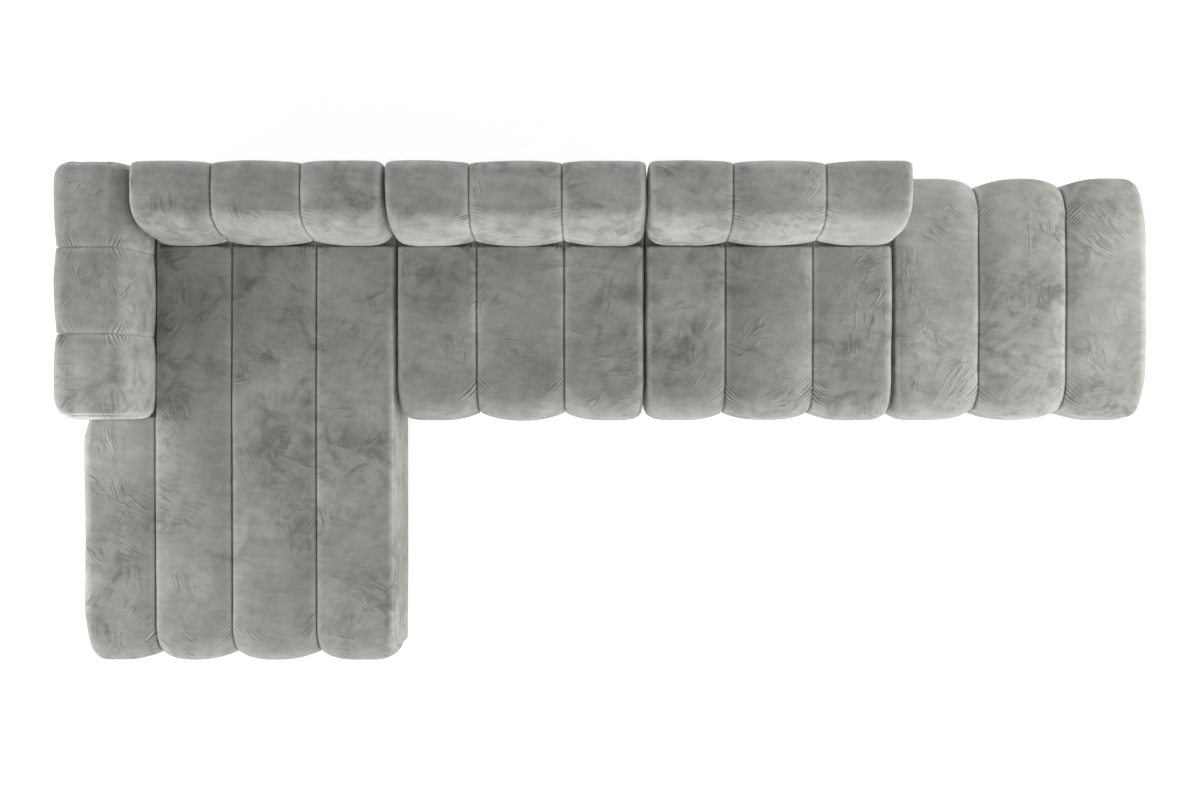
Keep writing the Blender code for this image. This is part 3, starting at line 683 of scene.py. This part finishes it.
# The pile colour is multiplied by a painted sheen taken from these stops of Layer Weight facing. It grows lighter the
# more the surface turns away from the camera.
PAINTED_SHEEN_STOPS = ((0.0, 1.0), (0.05, 1.11), (0.1, 1.19), (0.25, 1.28), (0.5, 1.32), (1.0, 1.34))
MOST_PAINTED_SHEEN = 1.34
# How strongly the mesh's painted light values paint highlights on crests and seam rims, and shade in valleys and seam
# lines.
PAINTED_LIGHT_STRENGTH = 0.85
MARK_DEPTH = 0.0034
PILE_DEPTH = 0.0005
PILE_FINENESS = 900.0


def painted_sheen_of(nodes, link, normal):
    """A painted sheen: how much lighter the base colour is painted the more the surface turns away, as a share of its
    largest value.
    """
    facing = nodes.new("ShaderNodeLayerWeight")
    facing.inputs["Blend"].default_value = 0.5
    link(normal, facing.inputs["Normal"])
    return ramp(nodes, link, facing.outputs["Facing"], [(at, (shine / MOST_PAINTED_SHEEN,) * 3) for at, shine in PAINTED_SHEEN_STOPS])


def painted_light_scale(nodes, link):
    """Painted light from the mesh's values: painted highlights on the crests of the gathers and on seam rims, and
    painted shade in their valleys and seam lines.
    """
    painted_light_node = nodes.new("ShaderNodeAttribute")
    painted_light_node.attribute_name = "painted_light"
    return math_node(nodes, link, "MULTIPLY_ADD", painted_light_node.outputs["Fac"], PAINTED_LIGHT_STRENGTH * MOST_PAINTED_SHEEN, MOST_PAINTED_SHEEN)


def velvet_material():
    made, nodes, link, shader = new_material("crushed velvet")
    place = nodes.new("ShaderNodeTexCoord").outputs["Object"]
    marks = crush_marks(nodes, link, place)
    tone = pile_tone(nodes, link, place, marks)
    marked = bump(nodes, link, marks, MARK_DEPTH)
    fine = noise_node(nodes, link, place, PILE_FINENESS, 2, 0.6)
    link(bump(nodes, link, fine, PILE_DEPTH, 0.3, marked), shader.inputs["Normal"])
    # Pile colour times the painted sheen.
    painted_sheen_colour = nodes.new("ShaderNodeVectorMath")
    painted_sheen_colour.operation = "MULTIPLY"
    link(ramp(nodes, link, tone, ((0.1, PILE_DARK), (0.5, PILE_MIDDLE), (0.9, PILE_LIGHT))), painted_sheen_colour.inputs[0])
    link(painted_sheen_of(nodes, link, marked), painted_sheen_colour.inputs[1])
    # Then times the painted light: painted highlights on gather crests and seam rims, and painted shade in gather
    # valleys and seam lines.
    painted_colour = nodes.new("ShaderNodeVectorMath")
    painted_colour.operation = "SCALE"
    link(painted_sheen_colour.outputs["Vector"], painted_colour.inputs[0])
    link(painted_light_scale(nodes, link), painted_colour.inputs["Scale"])
    link(painted_colour.outputs["Vector"], shader.inputs["Base Color"])
    link(remap(nodes, link, tone, 0.1, 0.9, 0.95, 0.78), shader.inputs["Roughness"])
    shader.inputs["Specular IOR Level"].default_value = 0.15
    shader.inputs["Sheen Weight"].default_value = 0.35
    shader.inputs["Sheen Roughness"].default_value = 0.45
    shader.inputs["Sheen Tint"].default_value = (0.96, 0.96, 0.91, 1.0)
    return made


VELVET = velvet_material()
print("velvet nodes:", len(VELVET.node_tree.nodes))

# %% [markdown]
# ## The sizes of the covers
#
# Each cover fills the box of the solid that it stands for. Only its channels and its roundings are set here; its
# width, depth and height are read from that solid.

# %% Channels and roundings
CHANNELS_OF = {
    "chaise": (0.321, 0.327, 0.360, 0.3394),
    "middle_left": (0.344, 0.373, 0.344),
    "middle_right": (0.344, 0.373, 0.344),
    "ottoman": (0.3625, 0.3734, 0.3625),
}
CHAISE_BACK_CHANNELS = (0.3198, 0.360, 0.3316)
ARM_CHANNELS = (1, 1, 1)
FRONT_SWELL = {"chaise": 0.010, "middle_left": 0.012, "middle_right": 0.012, "ottoman": 0.012}
HEM_DROP = 0.0006
SEAT_CUT = Cut(seam=(0.034, 0.034, 0.024), hem_turn=0.012, bulge=0.006)
SEAT_EDGE = Edge((0.024, 0.024, 0.005), 0.115, FRONT_POWERS, (0.016, 0.016, 0.032), 0.032, 84)
FREE_SEAT_EDGE = Edge((0.110, 0.110, 0.005), 0.115, ROUND_POWERS, (0.020, 0.020, 0.070), 0.058, 84)
BACK_CUT = Cut(seam=(0.022, 0.010, 0.024), hem_turn=0.010, bulge=0.006)
BACK_EDGE = Edge((0.032, 0.003, 0.005), 0.115, FRONT_POWERS, (0.022, 0.010, 0.032), 0.032, 84)
ARM_CUT = Cut(seam=(0.010, 0.014, 0.012), hem_turn=0.010, bulge=0.004)
ARM_FRONT_EDGE = Edge((0.036, 0.090, 0.004), 0.105, ROUND_POWERS, (0.010, 0.014, 0.028), 0.026, 24)
ARM_REAR_EDGE = Edge((0.024, 0.042, 0.004), 0.085, ROUND_POWERS, (0.010, 0.014, 0.030), 0.034, 56)
# The sixth value of each Gather is the seam's painted light: painted shade on seats and backs, a painted highlight on
# the arm.
SEAT_GATHER = Gather(0.0150, 0.048, 0.0085, 0.34, 0.004, -0.45, ((-1, 0.055, 0.055, 1.0), (1, 0.085, 0.075, 1.1)))
BACK_GATHER = Gather(0.0135, 0.048, 0.0062, 0.30, 0.003, -0.40, ((-1, 0.010, 0.060, 1.0), (1, 0.0, 0.035, 0.6)))
ARM_GATHER = Gather(0.0165, 0.042, 0.0094, 0.50, 0.003, 0.25, ((-1, 0.020, 0.050, 1.0), (1, 0.020, 0.060, 1.0)))

# %% The outlines of a seat, a back and the arm
SEAT_SWELL = (0.004, 0.008)
SEAT_FORM = {
    "front_corner": (0.110, 0.065),
    "rear_corner": (0.110, 0.065),
    "hem_radii": ((0.044, 0.120), (0.044, 0.120)),
    "corner_loss": (-1.2, -2.0),
    "held": True,
}
BACK_FORM = {
    "front_corner": (0.114, 0.215),
    "rear_corner": (0.050, 0.045),
    "hem_radii": ((0.030, 0.060), (0.010, 0.010)),
    "swell": (0.008, 0.003, 0.006),
    "corner_loss": (0.6, 0.6),
    "end_gain": 2.0,
}
ARM_FORM = {
    "front_corner": (0.085, 0.110),
    "rear_corner": (0.075, 0.055),
    "hem_radii": ((0.014, 0.020), (0.026, 0.026)),
    "swell": (0.010, 0.004, 0.006),
    "corner_loss": (0.6, 0.6),
}

# %% [markdown]
# ## Sew the seat covers
#
# Where a back or an arm stands on a base, the padding is pressed flat. Around that footprint the cloth rolls down
# to it, which leaves the dark crease between seat and back. A real cover is pulled tight over its frame and foam,
# so the walls are kept just outside both. Beside the arm's front the seat's edge is tucked in a little.

# %% Press the seat down under backs and arm
ROLL_RADIUS = 0.014
UNDER_GAP = 0.0010
PRESS_INSET = 0.009


def pressed(points, low, high, level, top):
    """Lowers the points above a footprint to level, with a rolled edge around it that reaches up to top."""
    dx = np.maximum(np.maximum(low[0] - points[..., 0], points[..., 0] - high[0]) + PRESS_INSET, 0)
    dy = np.maximum(np.maximum(low[1] - points[..., 1], points[..., 1] - high[1]) + PRESS_INSET, 0)
    away = np.minimum(np.hypot(dx, dy) / ROLL_RADIUS, 1.0)
    limit = level + (top - level) * np.sqrt(1 - (1 - away) ** 2)
    limit = np.where(away >= 1.0, np.inf, limit)
    points = points.copy()
    points[..., 2] = np.minimum(points[..., 2], limit)
    return points


# %% Keep the walls outside frame and foam
CORE_INSET = (0.0345, 0.0465)
CORE_SHOULDER = 0.302
CORE_TOP = 0.3835
LEAST_HEM = 0.0005
FRAME_TOP = 0.270
MOST_PUSH = 0.016
CORNER_MARGIN = 0.007


def kept_outside(points, low, high):
    """Moves a point that is too deep in a wall out to the front or rear, or to the side where that is nearer.
    Frame and foam lie CORE_INSET in from the cover's box, and above CORE_SHOULDER the foam is chamfered."""
    x, y, z = (points[..., i] for i in range(3))
    deep_x = np.minimum(x - low.x, high.x - x) - CORE_INSET[0]
    deep_y = np.minimum(y - low.y, high.y - y) - CORE_INSET[1] - np.maximum(z - CORE_SHOULDER, 0)
    close = (z > low.z + LEAST_HEM) & (z < CORE_TOP) & (deep_x > -CORNER_MARGIN) & (deep_y > 0)
    by_front = close & (deep_y < MOST_PUSH)
    by_side = close & ~by_front & (z < FRAME_TOP) & (deep_x > 0) & (deep_x < deep_y)
    to_left, to_front = x < (low.x + high.x) / 2, y < (low.y + high.y) / 2
    x = x + np.where(by_side, np.where(to_left, -deep_x, deep_x), 0.0)
    y = y + np.where(by_front, np.where(to_front, -deep_y, deep_y), 0.0)
    return np.stack([x, y, z], axis=-1)


# %% Tuck the seat in beside the arm's front
TUCK_DEPTH = 0.025
TUCK_REACH = 0.050
TUCK_WIDTH = 3 * TUCK_DEPTH
TUCK_LOW = 0.18
TUCK_HIGH = 0.38


def tucked(points, side, front):
    """Draws the left edge of a seat in where it comes out from under the arm's front."""
    near_front = np.exp(-(((points[..., 1] - front) / TUCK_REACH) ** 2))
    near_side = np.clip(1 - (points[..., 0] - side) / TUCK_WIDTH, 0, 1)
    height = np.clip((points[..., 2] - TUCK_LOW) / (TUCK_HIGH - TUCK_LOW), 0, 1)
    points = points.copy()
    points[..., 0] += TUCK_DEPTH * near_front * near_side * eased(height)
    return points


# %% Quilt a cover
BROAD_DENTS = (0.0022, 0.16)
SMALL_DENTS = (0.0007, 0.045)


def corner_places(form, grid):
    """Where the seam turns: the lengths along the outline at its front and rear top corners."""
    ring = grid[len(grid) // 2]
    along = along_of(grid)
    front = along[np.argmin(np.hypot(ring[:, 1] + form.length, ring[:, 2] - form.top))]
    rear = along[np.argmin(np.hypot(ring[:, 1], ring[:, 2] - form.top))]
    return front, rear


def ripple(grid, seed):
    """Broad dents and small unevenness of the padding. Both kinds are given as (height, size)."""
    total = 0.0
    for (height, size), shift in ((BROAD_DENTS, 0), (SMALL_DENTS, 5)):
        total = total + height * smooth_noise(grid, size, seed + shift)
    return total


def quilted(form, channels, span, cut, edges, gather, seed):
    """(points, painted light) of a cover that is as wide as span, before it is put in its place."""
    channels = [channel * span / sum(channels) for channel in channels]
    grid, from_edge_seam = grid_of(form, channels, cut, edges)
    seams = np.cumsum(channels)[:-1]
    lift, painted_light = sewn(grid, from_edge_seam, seams, corner_places(form, grid), gather, seed)
    return grid + (lift + ripple(grid, seed))[..., None] * normals_of(grid), painted_light


# %% Sew the seats
SEAT_SHIFT = 2.3


def sew_seat(module, channels, edges, seed):
    """The cover of one base, pressed in under the back and the arm that stand on it."""
    low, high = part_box(f"{module}_seat_cover")
    covers = [f"{module}_{upright}_cover" for upright in ("back", "arm")]
    footprints = [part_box(cover) for cover in covers if cover in frame["nodes"]]
    dense = [foot_low.y - high.y for foot_low, _ in footprints]
    swell = (FRONT_SWELL[module], *SEAT_SWELL)
    form = Outline(high.y - low.y, low.z - HEM_DROP, high.z, swell=swell, dense=dense, **SEAT_FORM)
    grid, painted_light = quilted(form, channels, high.x - low.x, SEAT_CUT, edges, SEAT_GATHER, seed)
    points = grid + np.array([low.x, high.y, 0.0])
    for foot_low, foot_high in footprints:
        points = pressed(points, foot_low, foot_high, foot_low.z - UNDER_GAP, high.z)
    if f"{module}_arm_cover" in frame["nodes"]:
        points = tucked(points, low.x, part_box(f"{module}_arm_cover")[0].y)
    points[..., 2] = np.maximum(points[..., 2], form.hem)
    points = kept_outside(points, low, high)
    return skin_object(f"{module}_seat_velvet", points, painted_light)


def dress(piece, body, node):
    """Puts a velvet cover in the place of its solid."""
    piece.data.materials.append(VELVET)
    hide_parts(node)
    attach(piece, body)


for number, (module, channels) in enumerate(CHANNELS_OF.items()):
    left_edge = FREE_SEAT_EDGE if module == "chaise" else SEAT_EDGE
    right_edge = FREE_SEAT_EDGE if module == "ottoman" else SEAT_EDGE
    cover = sew_seat(module, channels, (left_edge, right_edge), number * SEAT_SHIFT)
    dress(cover, module, f"{module}_seat_cover")
    print(cover.name, len(cover.data.vertices), "points")

# %% [markdown]
# ## Sew the backs and the arm
#
# A back is the same kind of cover, stood on the base, with its rear nearly flat. The arm is one more, turned so
# that its channels run from side to side and wrap over both of its faces.

# %% Let a free end lean
LEANS = {"chaise_back_cover": (0.013, -1), "middle_right_back_cover": (0.010, 1)}
LEAN_REACH = 0.13
LEAN_LOW = 0.54
LEAN_HIGH = 0.68


def leaned(points, side, lean, outward):
    """Lets the upper end of a back bulge out at its free end: over the arm's round edge or over the ottoman."""
    height = np.clip((points[..., 2] - LEAN_LOW) / (LEAN_HIGH - LEAN_LOW), 0, 1)
    near_side = np.clip(1 - np.abs(points[..., 0] - side) / LEAN_REACH, 0, 1)
    points = points.copy()
    points[..., 0] += outward * lean * near_side * eased(height)
    return points


# %% Sew the backs and the arm
BACK_SHIFTS = (20, 1.9)
ARM_SHIFT = 31.0


def sew_upright(node, channels, shape, cut, edges, gather, seed, turned_to_x):
    """A back along X, or, turned, an arm along Y whose front faces +X."""
    low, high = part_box(node)
    span, depth = (high.y - low.y, high.x - low.x) if turned_to_x else (high.x - low.x, high.y - low.y)
    form = Outline(depth, low.z, high.z, **shape)
    grid, painted_light = quilted(form, channels, span, cut, edges, gather, seed)
    grid[..., 2] = np.maximum(grid[..., 2], low.z)
    if turned_to_x:
        points = np.stack([low.x - grid[..., 1], low.y + grid[..., 0], grid[..., 2]], axis=-1)
    else:
        points = grid + np.array([low.x, high.y, 0.0])
    if node in LEANS:
        lean, outward = LEANS[node]
        points = leaned(points, high.x if outward > 0 else low.x, lean, outward)
    return skin_object(node.replace("_cover", "_velvet"), points, painted_light)


for number, (module, channels) in enumerate(CHANNELS_OF.items()):
    node = f"{module}_back_cover"
    if node in frame["nodes"]:
        channels = CHAISE_BACK_CHANNELS if module == "chaise" else channels
        edges = (BACK_EDGE, BACK_EDGE)
        seed = BACK_SHIFTS[0] + number * BACK_SHIFTS[1]
        cover = sew_upright(node, channels, BACK_FORM, BACK_CUT, edges, BACK_GATHER, seed, False)
        dress(cover, module, node)
        print(cover.name, len(cover.data.vertices), "points")
arm_edges = (ARM_FRONT_EDGE, ARM_REAR_EDGE)
arm = sew_upright("chaise_arm_cover", ARM_CHANNELS, ARM_FORM, ARM_CUT, arm_edges, ARM_GATHER, ARM_SHIFT, True)
dress(arm, "chaise", "chaise_arm_cover")
print(arm.name, len(arm.data.vertices), "points")

# %% [markdown]
# ## Finishes for the pieces under the velvet
#
# The frames, foams, webbing, dust covers, feet and links are solid pieces that keep their shape. They still get a
# finish of their own. Each is one texture at the scale of the real thing, such as a board's grain or a foam's
# cells, and its colour, its roughness and its relief all follow that texture.

# %% Textures of timber, foam, webbing, lining, plastic and steel
def board_grain(nodes, link, place):
    return noise_node(nodes, link, turned(nodes, link, place, (0, 0, 0), (1.5, 40, 40)), 1.0, 5, 0.6, 0.6)


def foam_cells(nodes, link, place):
    return noise_node(nodes, link, place, 450.0, 3, 0.6)


def strap_threads(nodes, link, place):
    node = nodes.new("ShaderNodeTexWave")
    node.inputs["Scale"].default_value = 160.0
    node.inputs["Distortion"].default_value = 0.6
    link(place, node.inputs["Vector"])
    return node.outputs["Fac"]


def cloth_fibres(nodes, link, place):
    return noise_node(nodes, link, place, 320.0, 4, 0.7, 3.0)


def moulded_grain(nodes, link, place):
    return noise_node(nodes, link, place, 700.0, 2, 0.5)


def brushed_lines(nodes, link, place):
    return noise_node(nodes, link, turned(nodes, link, place, (0, 0, 0), (900, 40, 900)), 1.0, 3, 0.5)


# %% Finishes
def plain_finish(name, texture_of, dark, light, rough, relief, ends=(0.3, 0.7), span=(0.3, 0.7), metallic=0.0):
    """dark and light are the colours at the texture's ends, rough is the roughness at both sides of its span, and
    relief is (depth, strength)."""
    made, nodes, link, shader = new_material(name)
    texture = texture_of(nodes, link, nodes.new("ShaderNodeTexCoord").outputs["Object"])
    link(ramp(nodes, link, texture, ((ends[0], dark), (ends[1], light))), shader.inputs["Base Color"])
    link(remap(nodes, link, texture, *span, *rough), shader.inputs["Roughness"])
    link(bump(nodes, link, texture, *relief), shader.inputs["Normal"])
    shader.inputs["Metallic"].default_value = metallic
    return made


FINISHES = {
    "timber": plain_finish(
        "pine board", board_grain, (0.42, 0.27, 0.14), (0.66, 0.48, 0.29), rough=(0.75, 0.6), relief=(0.0006, 0.6)
    ),
    "foam": plain_finish(
        "cut foam", foam_cells, (0.72, 0.66, 0.46), (0.88, 0.84, 0.66), rough=(1.0, 0.9), relief=(0.001, 0.7)
    ),
    "webbing": plain_finish(
        "elastic webbing",
        strap_threads,
        dark=(0.05, 0.05, 0.05),
        light=(0.16, 0.16, 0.155),
        rough=(0.85, 0.7),
        relief=(0.0008, 0.7),
        ends=(0.2, 0.8),
        span=(0, 1),
    ),
    "lining": plain_finish(
        "dust cloth",
        cloth_fibres,
        dark=(0.012, 0.012, 0.012),
        light=(0.045, 0.045, 0.045),
        rough=(0.95, 0.8),
        relief=(0.0004, 0.8),
        ends=(0.3, 0.75),
    ),
    "plastic": plain_finish(
        "moulded plastic",
        moulded_grain,
        dark=(0.012, 0.012, 0.013),
        light=(0.022, 0.022, 0.023),
        rough=(0.42, 0.6),
        relief=(0.0002, 0.5),
    ),
    "steel": plain_finish(
        "zinc-plated steel",
        brushed_lines,
        dark=(0.50, 0.51, 0.53),
        light=(0.66, 0.67, 0.69),
        rough=(0.28, 0.42),
        relief=(0.0001, 0.4),
        metallic=1.0,
    ),
    "velvet": VELVET,
}
for part in frame["record"]["subparts"]:
    mesh = frame["nodes"][part["node"]].data
    mesh.materials.clear()
    mesh.materials.append(FINISHES[part["material_slot"]])

# %% [markdown]
# ## Trim the dust covers
#
# A dust cover ends just inside the hem all round. Its corners are cut a little round, so that they don't show past
# the rounded base. Any rounder, and the timber above them would show from below.

# %% Dust covers
DUST_INSET = (0.024, 0.046)
DUST_CORNER = (0.020, 0.018)
DUST_TURNS = 13


def dust_outline(low, high):
    """Points round a sheet with rounded corners."""
    points = []
    places = ((high.x, high.y, -1, -1), (low.x, high.y, 1, -1), (low.x, low.y, 1, 1), (high.x, low.y, -1, 1))
    for x, y, sign_x, sign_y in places:
        turns = np.linspace(0, math.pi / 2, DUST_TURNS)
        if sign_x * sign_y < 0:
            turns = turns[::-1]
        for turn in turns:
            across = x + sign_x * DUST_CORNER[0] * (1 - math.cos(turn))
            points.append((across, y + sign_y * DUST_CORNER[1] * (1 - math.sin(turn))))
    return points


def trim_dust_cover(module):
    seat_low, seat_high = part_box(f"{module}_seat_cover")
    low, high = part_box(f"{module}_dust_cover")
    margin = Vector((*DUST_INSET, 0.0))
    outline = dust_outline(seat_low + margin, seat_high - margin)
    count = len(outline)
    corners = [(x, y, z) for z in (low.z, high.z) for x, y in outline]
    faces = [list(range(count))[::-1], list(range(count, 2 * count))]
    faces += [[i, (i + 1) % count, count + (i + 1) % count, count + i] for i in range(count)]
    return mesh_object(f"{module}_dust_cloth", corners, faces)


for module in CHANNELS_OF:
    cloth = trim_dust_cover(module)
    cloth.data.materials.append(FINISHES["lining"])
    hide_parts(f"{module}_dust_cover")
    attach(cloth, module)

# %% [markdown]
# ## The studio
#
# The sofa stands on a white floor under large soft lamps. The lamps set how bright the cloth is. The sky is bright
# low down and dark above, so that it lights the flanks of the channels. The floor is a little brighter to the
# camera than the lamps make it, so that it reads as plain white and still shows the sofa's shadow.

# %% Floor
FLOOR_SIZE = 24.0
FLOOR_GREY = 0.45
FLOOR_GLOW = 0.78


def seen_rays(nodes, link):
    """1 for the rays that show the studio, straight, in a reflection or through glass, and 0 for all others."""
    rays = nodes.new("ShaderNodeLightPath")
    seen = math_node(nodes, link, "MAXIMUM", rays.outputs["Is Camera Ray"], rays.outputs["Is Glossy Ray"])
    return math_node(nodes, link, "MAXIMUM", seen, rays.outputs["Is Transmission Ray"])


def add_floor():
    half = FLOOR_SIZE / 2
    corners = [(-half, -half, 0), (half, -half, 0), (half, half, 0), (-half, half, 0)]
    floor = mesh_object("floor", corners, [(0, 1, 2, 3)])
    made, nodes, link, shader = new_material("studio floor")
    shader.inputs["Base Color"].default_value = (FLOOR_GREY, FLOOR_GREY, FLOOR_GREY, 1.0)
    shader.inputs["Roughness"].default_value = 0.9
    link(math_node(nodes, link, "MULTIPLY", seen_rays(nodes, link), FLOOR_GLOW), shader.inputs["Emission Strength"])
    shader.inputs["Emission Color"].default_value = (1, 1, 1, 1)
    floor.data.materials.append(made)


add_floor()

# %% World
HORIZON_LIGHT = 3.05
ZENITH_LIGHT = 0.15
ZENITH_FROM = 0.7


def add_world():
    world = bpy.data.worlds.new("studio")
    bpy.context.scene.world = world
    world.use_nodes = True
    nodes, link = world.node_tree.nodes, world.node_tree.links.new
    background = nodes["Background"]
    background.inputs["Color"].default_value = (1, 1, 1, 1)
    direction = nodes.new("ShaderNodeSeparateXYZ")
    link(nodes.new("ShaderNodeTexCoord").outputs["Generated"], direction.inputs["Vector"])
    light = remap(nodes, link, direction.outputs["Z"], 0.0, ZENITH_FROM, HORIZON_LIGHT, ZENITH_LIGHT)
    seen = seen_rays(nodes, link)
    unlit = math_node(nodes, link, "SUBTRACT", 1.0, seen)
    link(math_node(nodes, link, "MULTIPLY_ADD", light, unlit, seen), background.inputs["Strength"])


add_world()

# %% Lamps
def add_lamp(name, place, aim, size, watts):
    lamp = bpy.data.lights.new(name, "AREA")
    lamp.shape = "RECTANGLE"
    lamp.size, lamp.size_y = size
    lamp.energy = watts
    obj = bpy.data.objects.new(name, lamp)
    bpy.context.scene.collection.objects.link(obj)
    obj.location = place
    direction = np.array(aim, float) - np.array(place, float)
    flat = math.hypot(direction[0], direction[1])
    obj.rotation_euler = (math.atan2(flat, -direction[2]), 0, math.atan2(direction[1], direction[0]) - math.pi / 2)
    obj.visible_camera = False


add_lamp("right lamp", (3.5, 0.1, 1.35), (1.2, 0.1, 0.35), (3.0, 1.5), 44)
add_lamp("left lamp", (-3.7, -1.0, 1.35), (-1.4, -1.0, 0.35), (2.6, 1.5), 36)
add_lamp("front lamp", (0.0, -4.4, 1.5), (0.0, -0.2, 0.35), (5.0, 1.8), 14)
add_lamp("upper right lamp", (2.5, -1.4, 3.2), (2.0, 0.1, 0.4), (2.0, 2.0), 18)
add_lamp("upper middle lamp", (0.4, -1.5, 3.2), (0.3, 0.1, 0.4), (1.6, 1.2), 20)
print(len(bpy.data.lights), "lamps")
bpy.context.scene.view_settings.view_transform = "Standard"
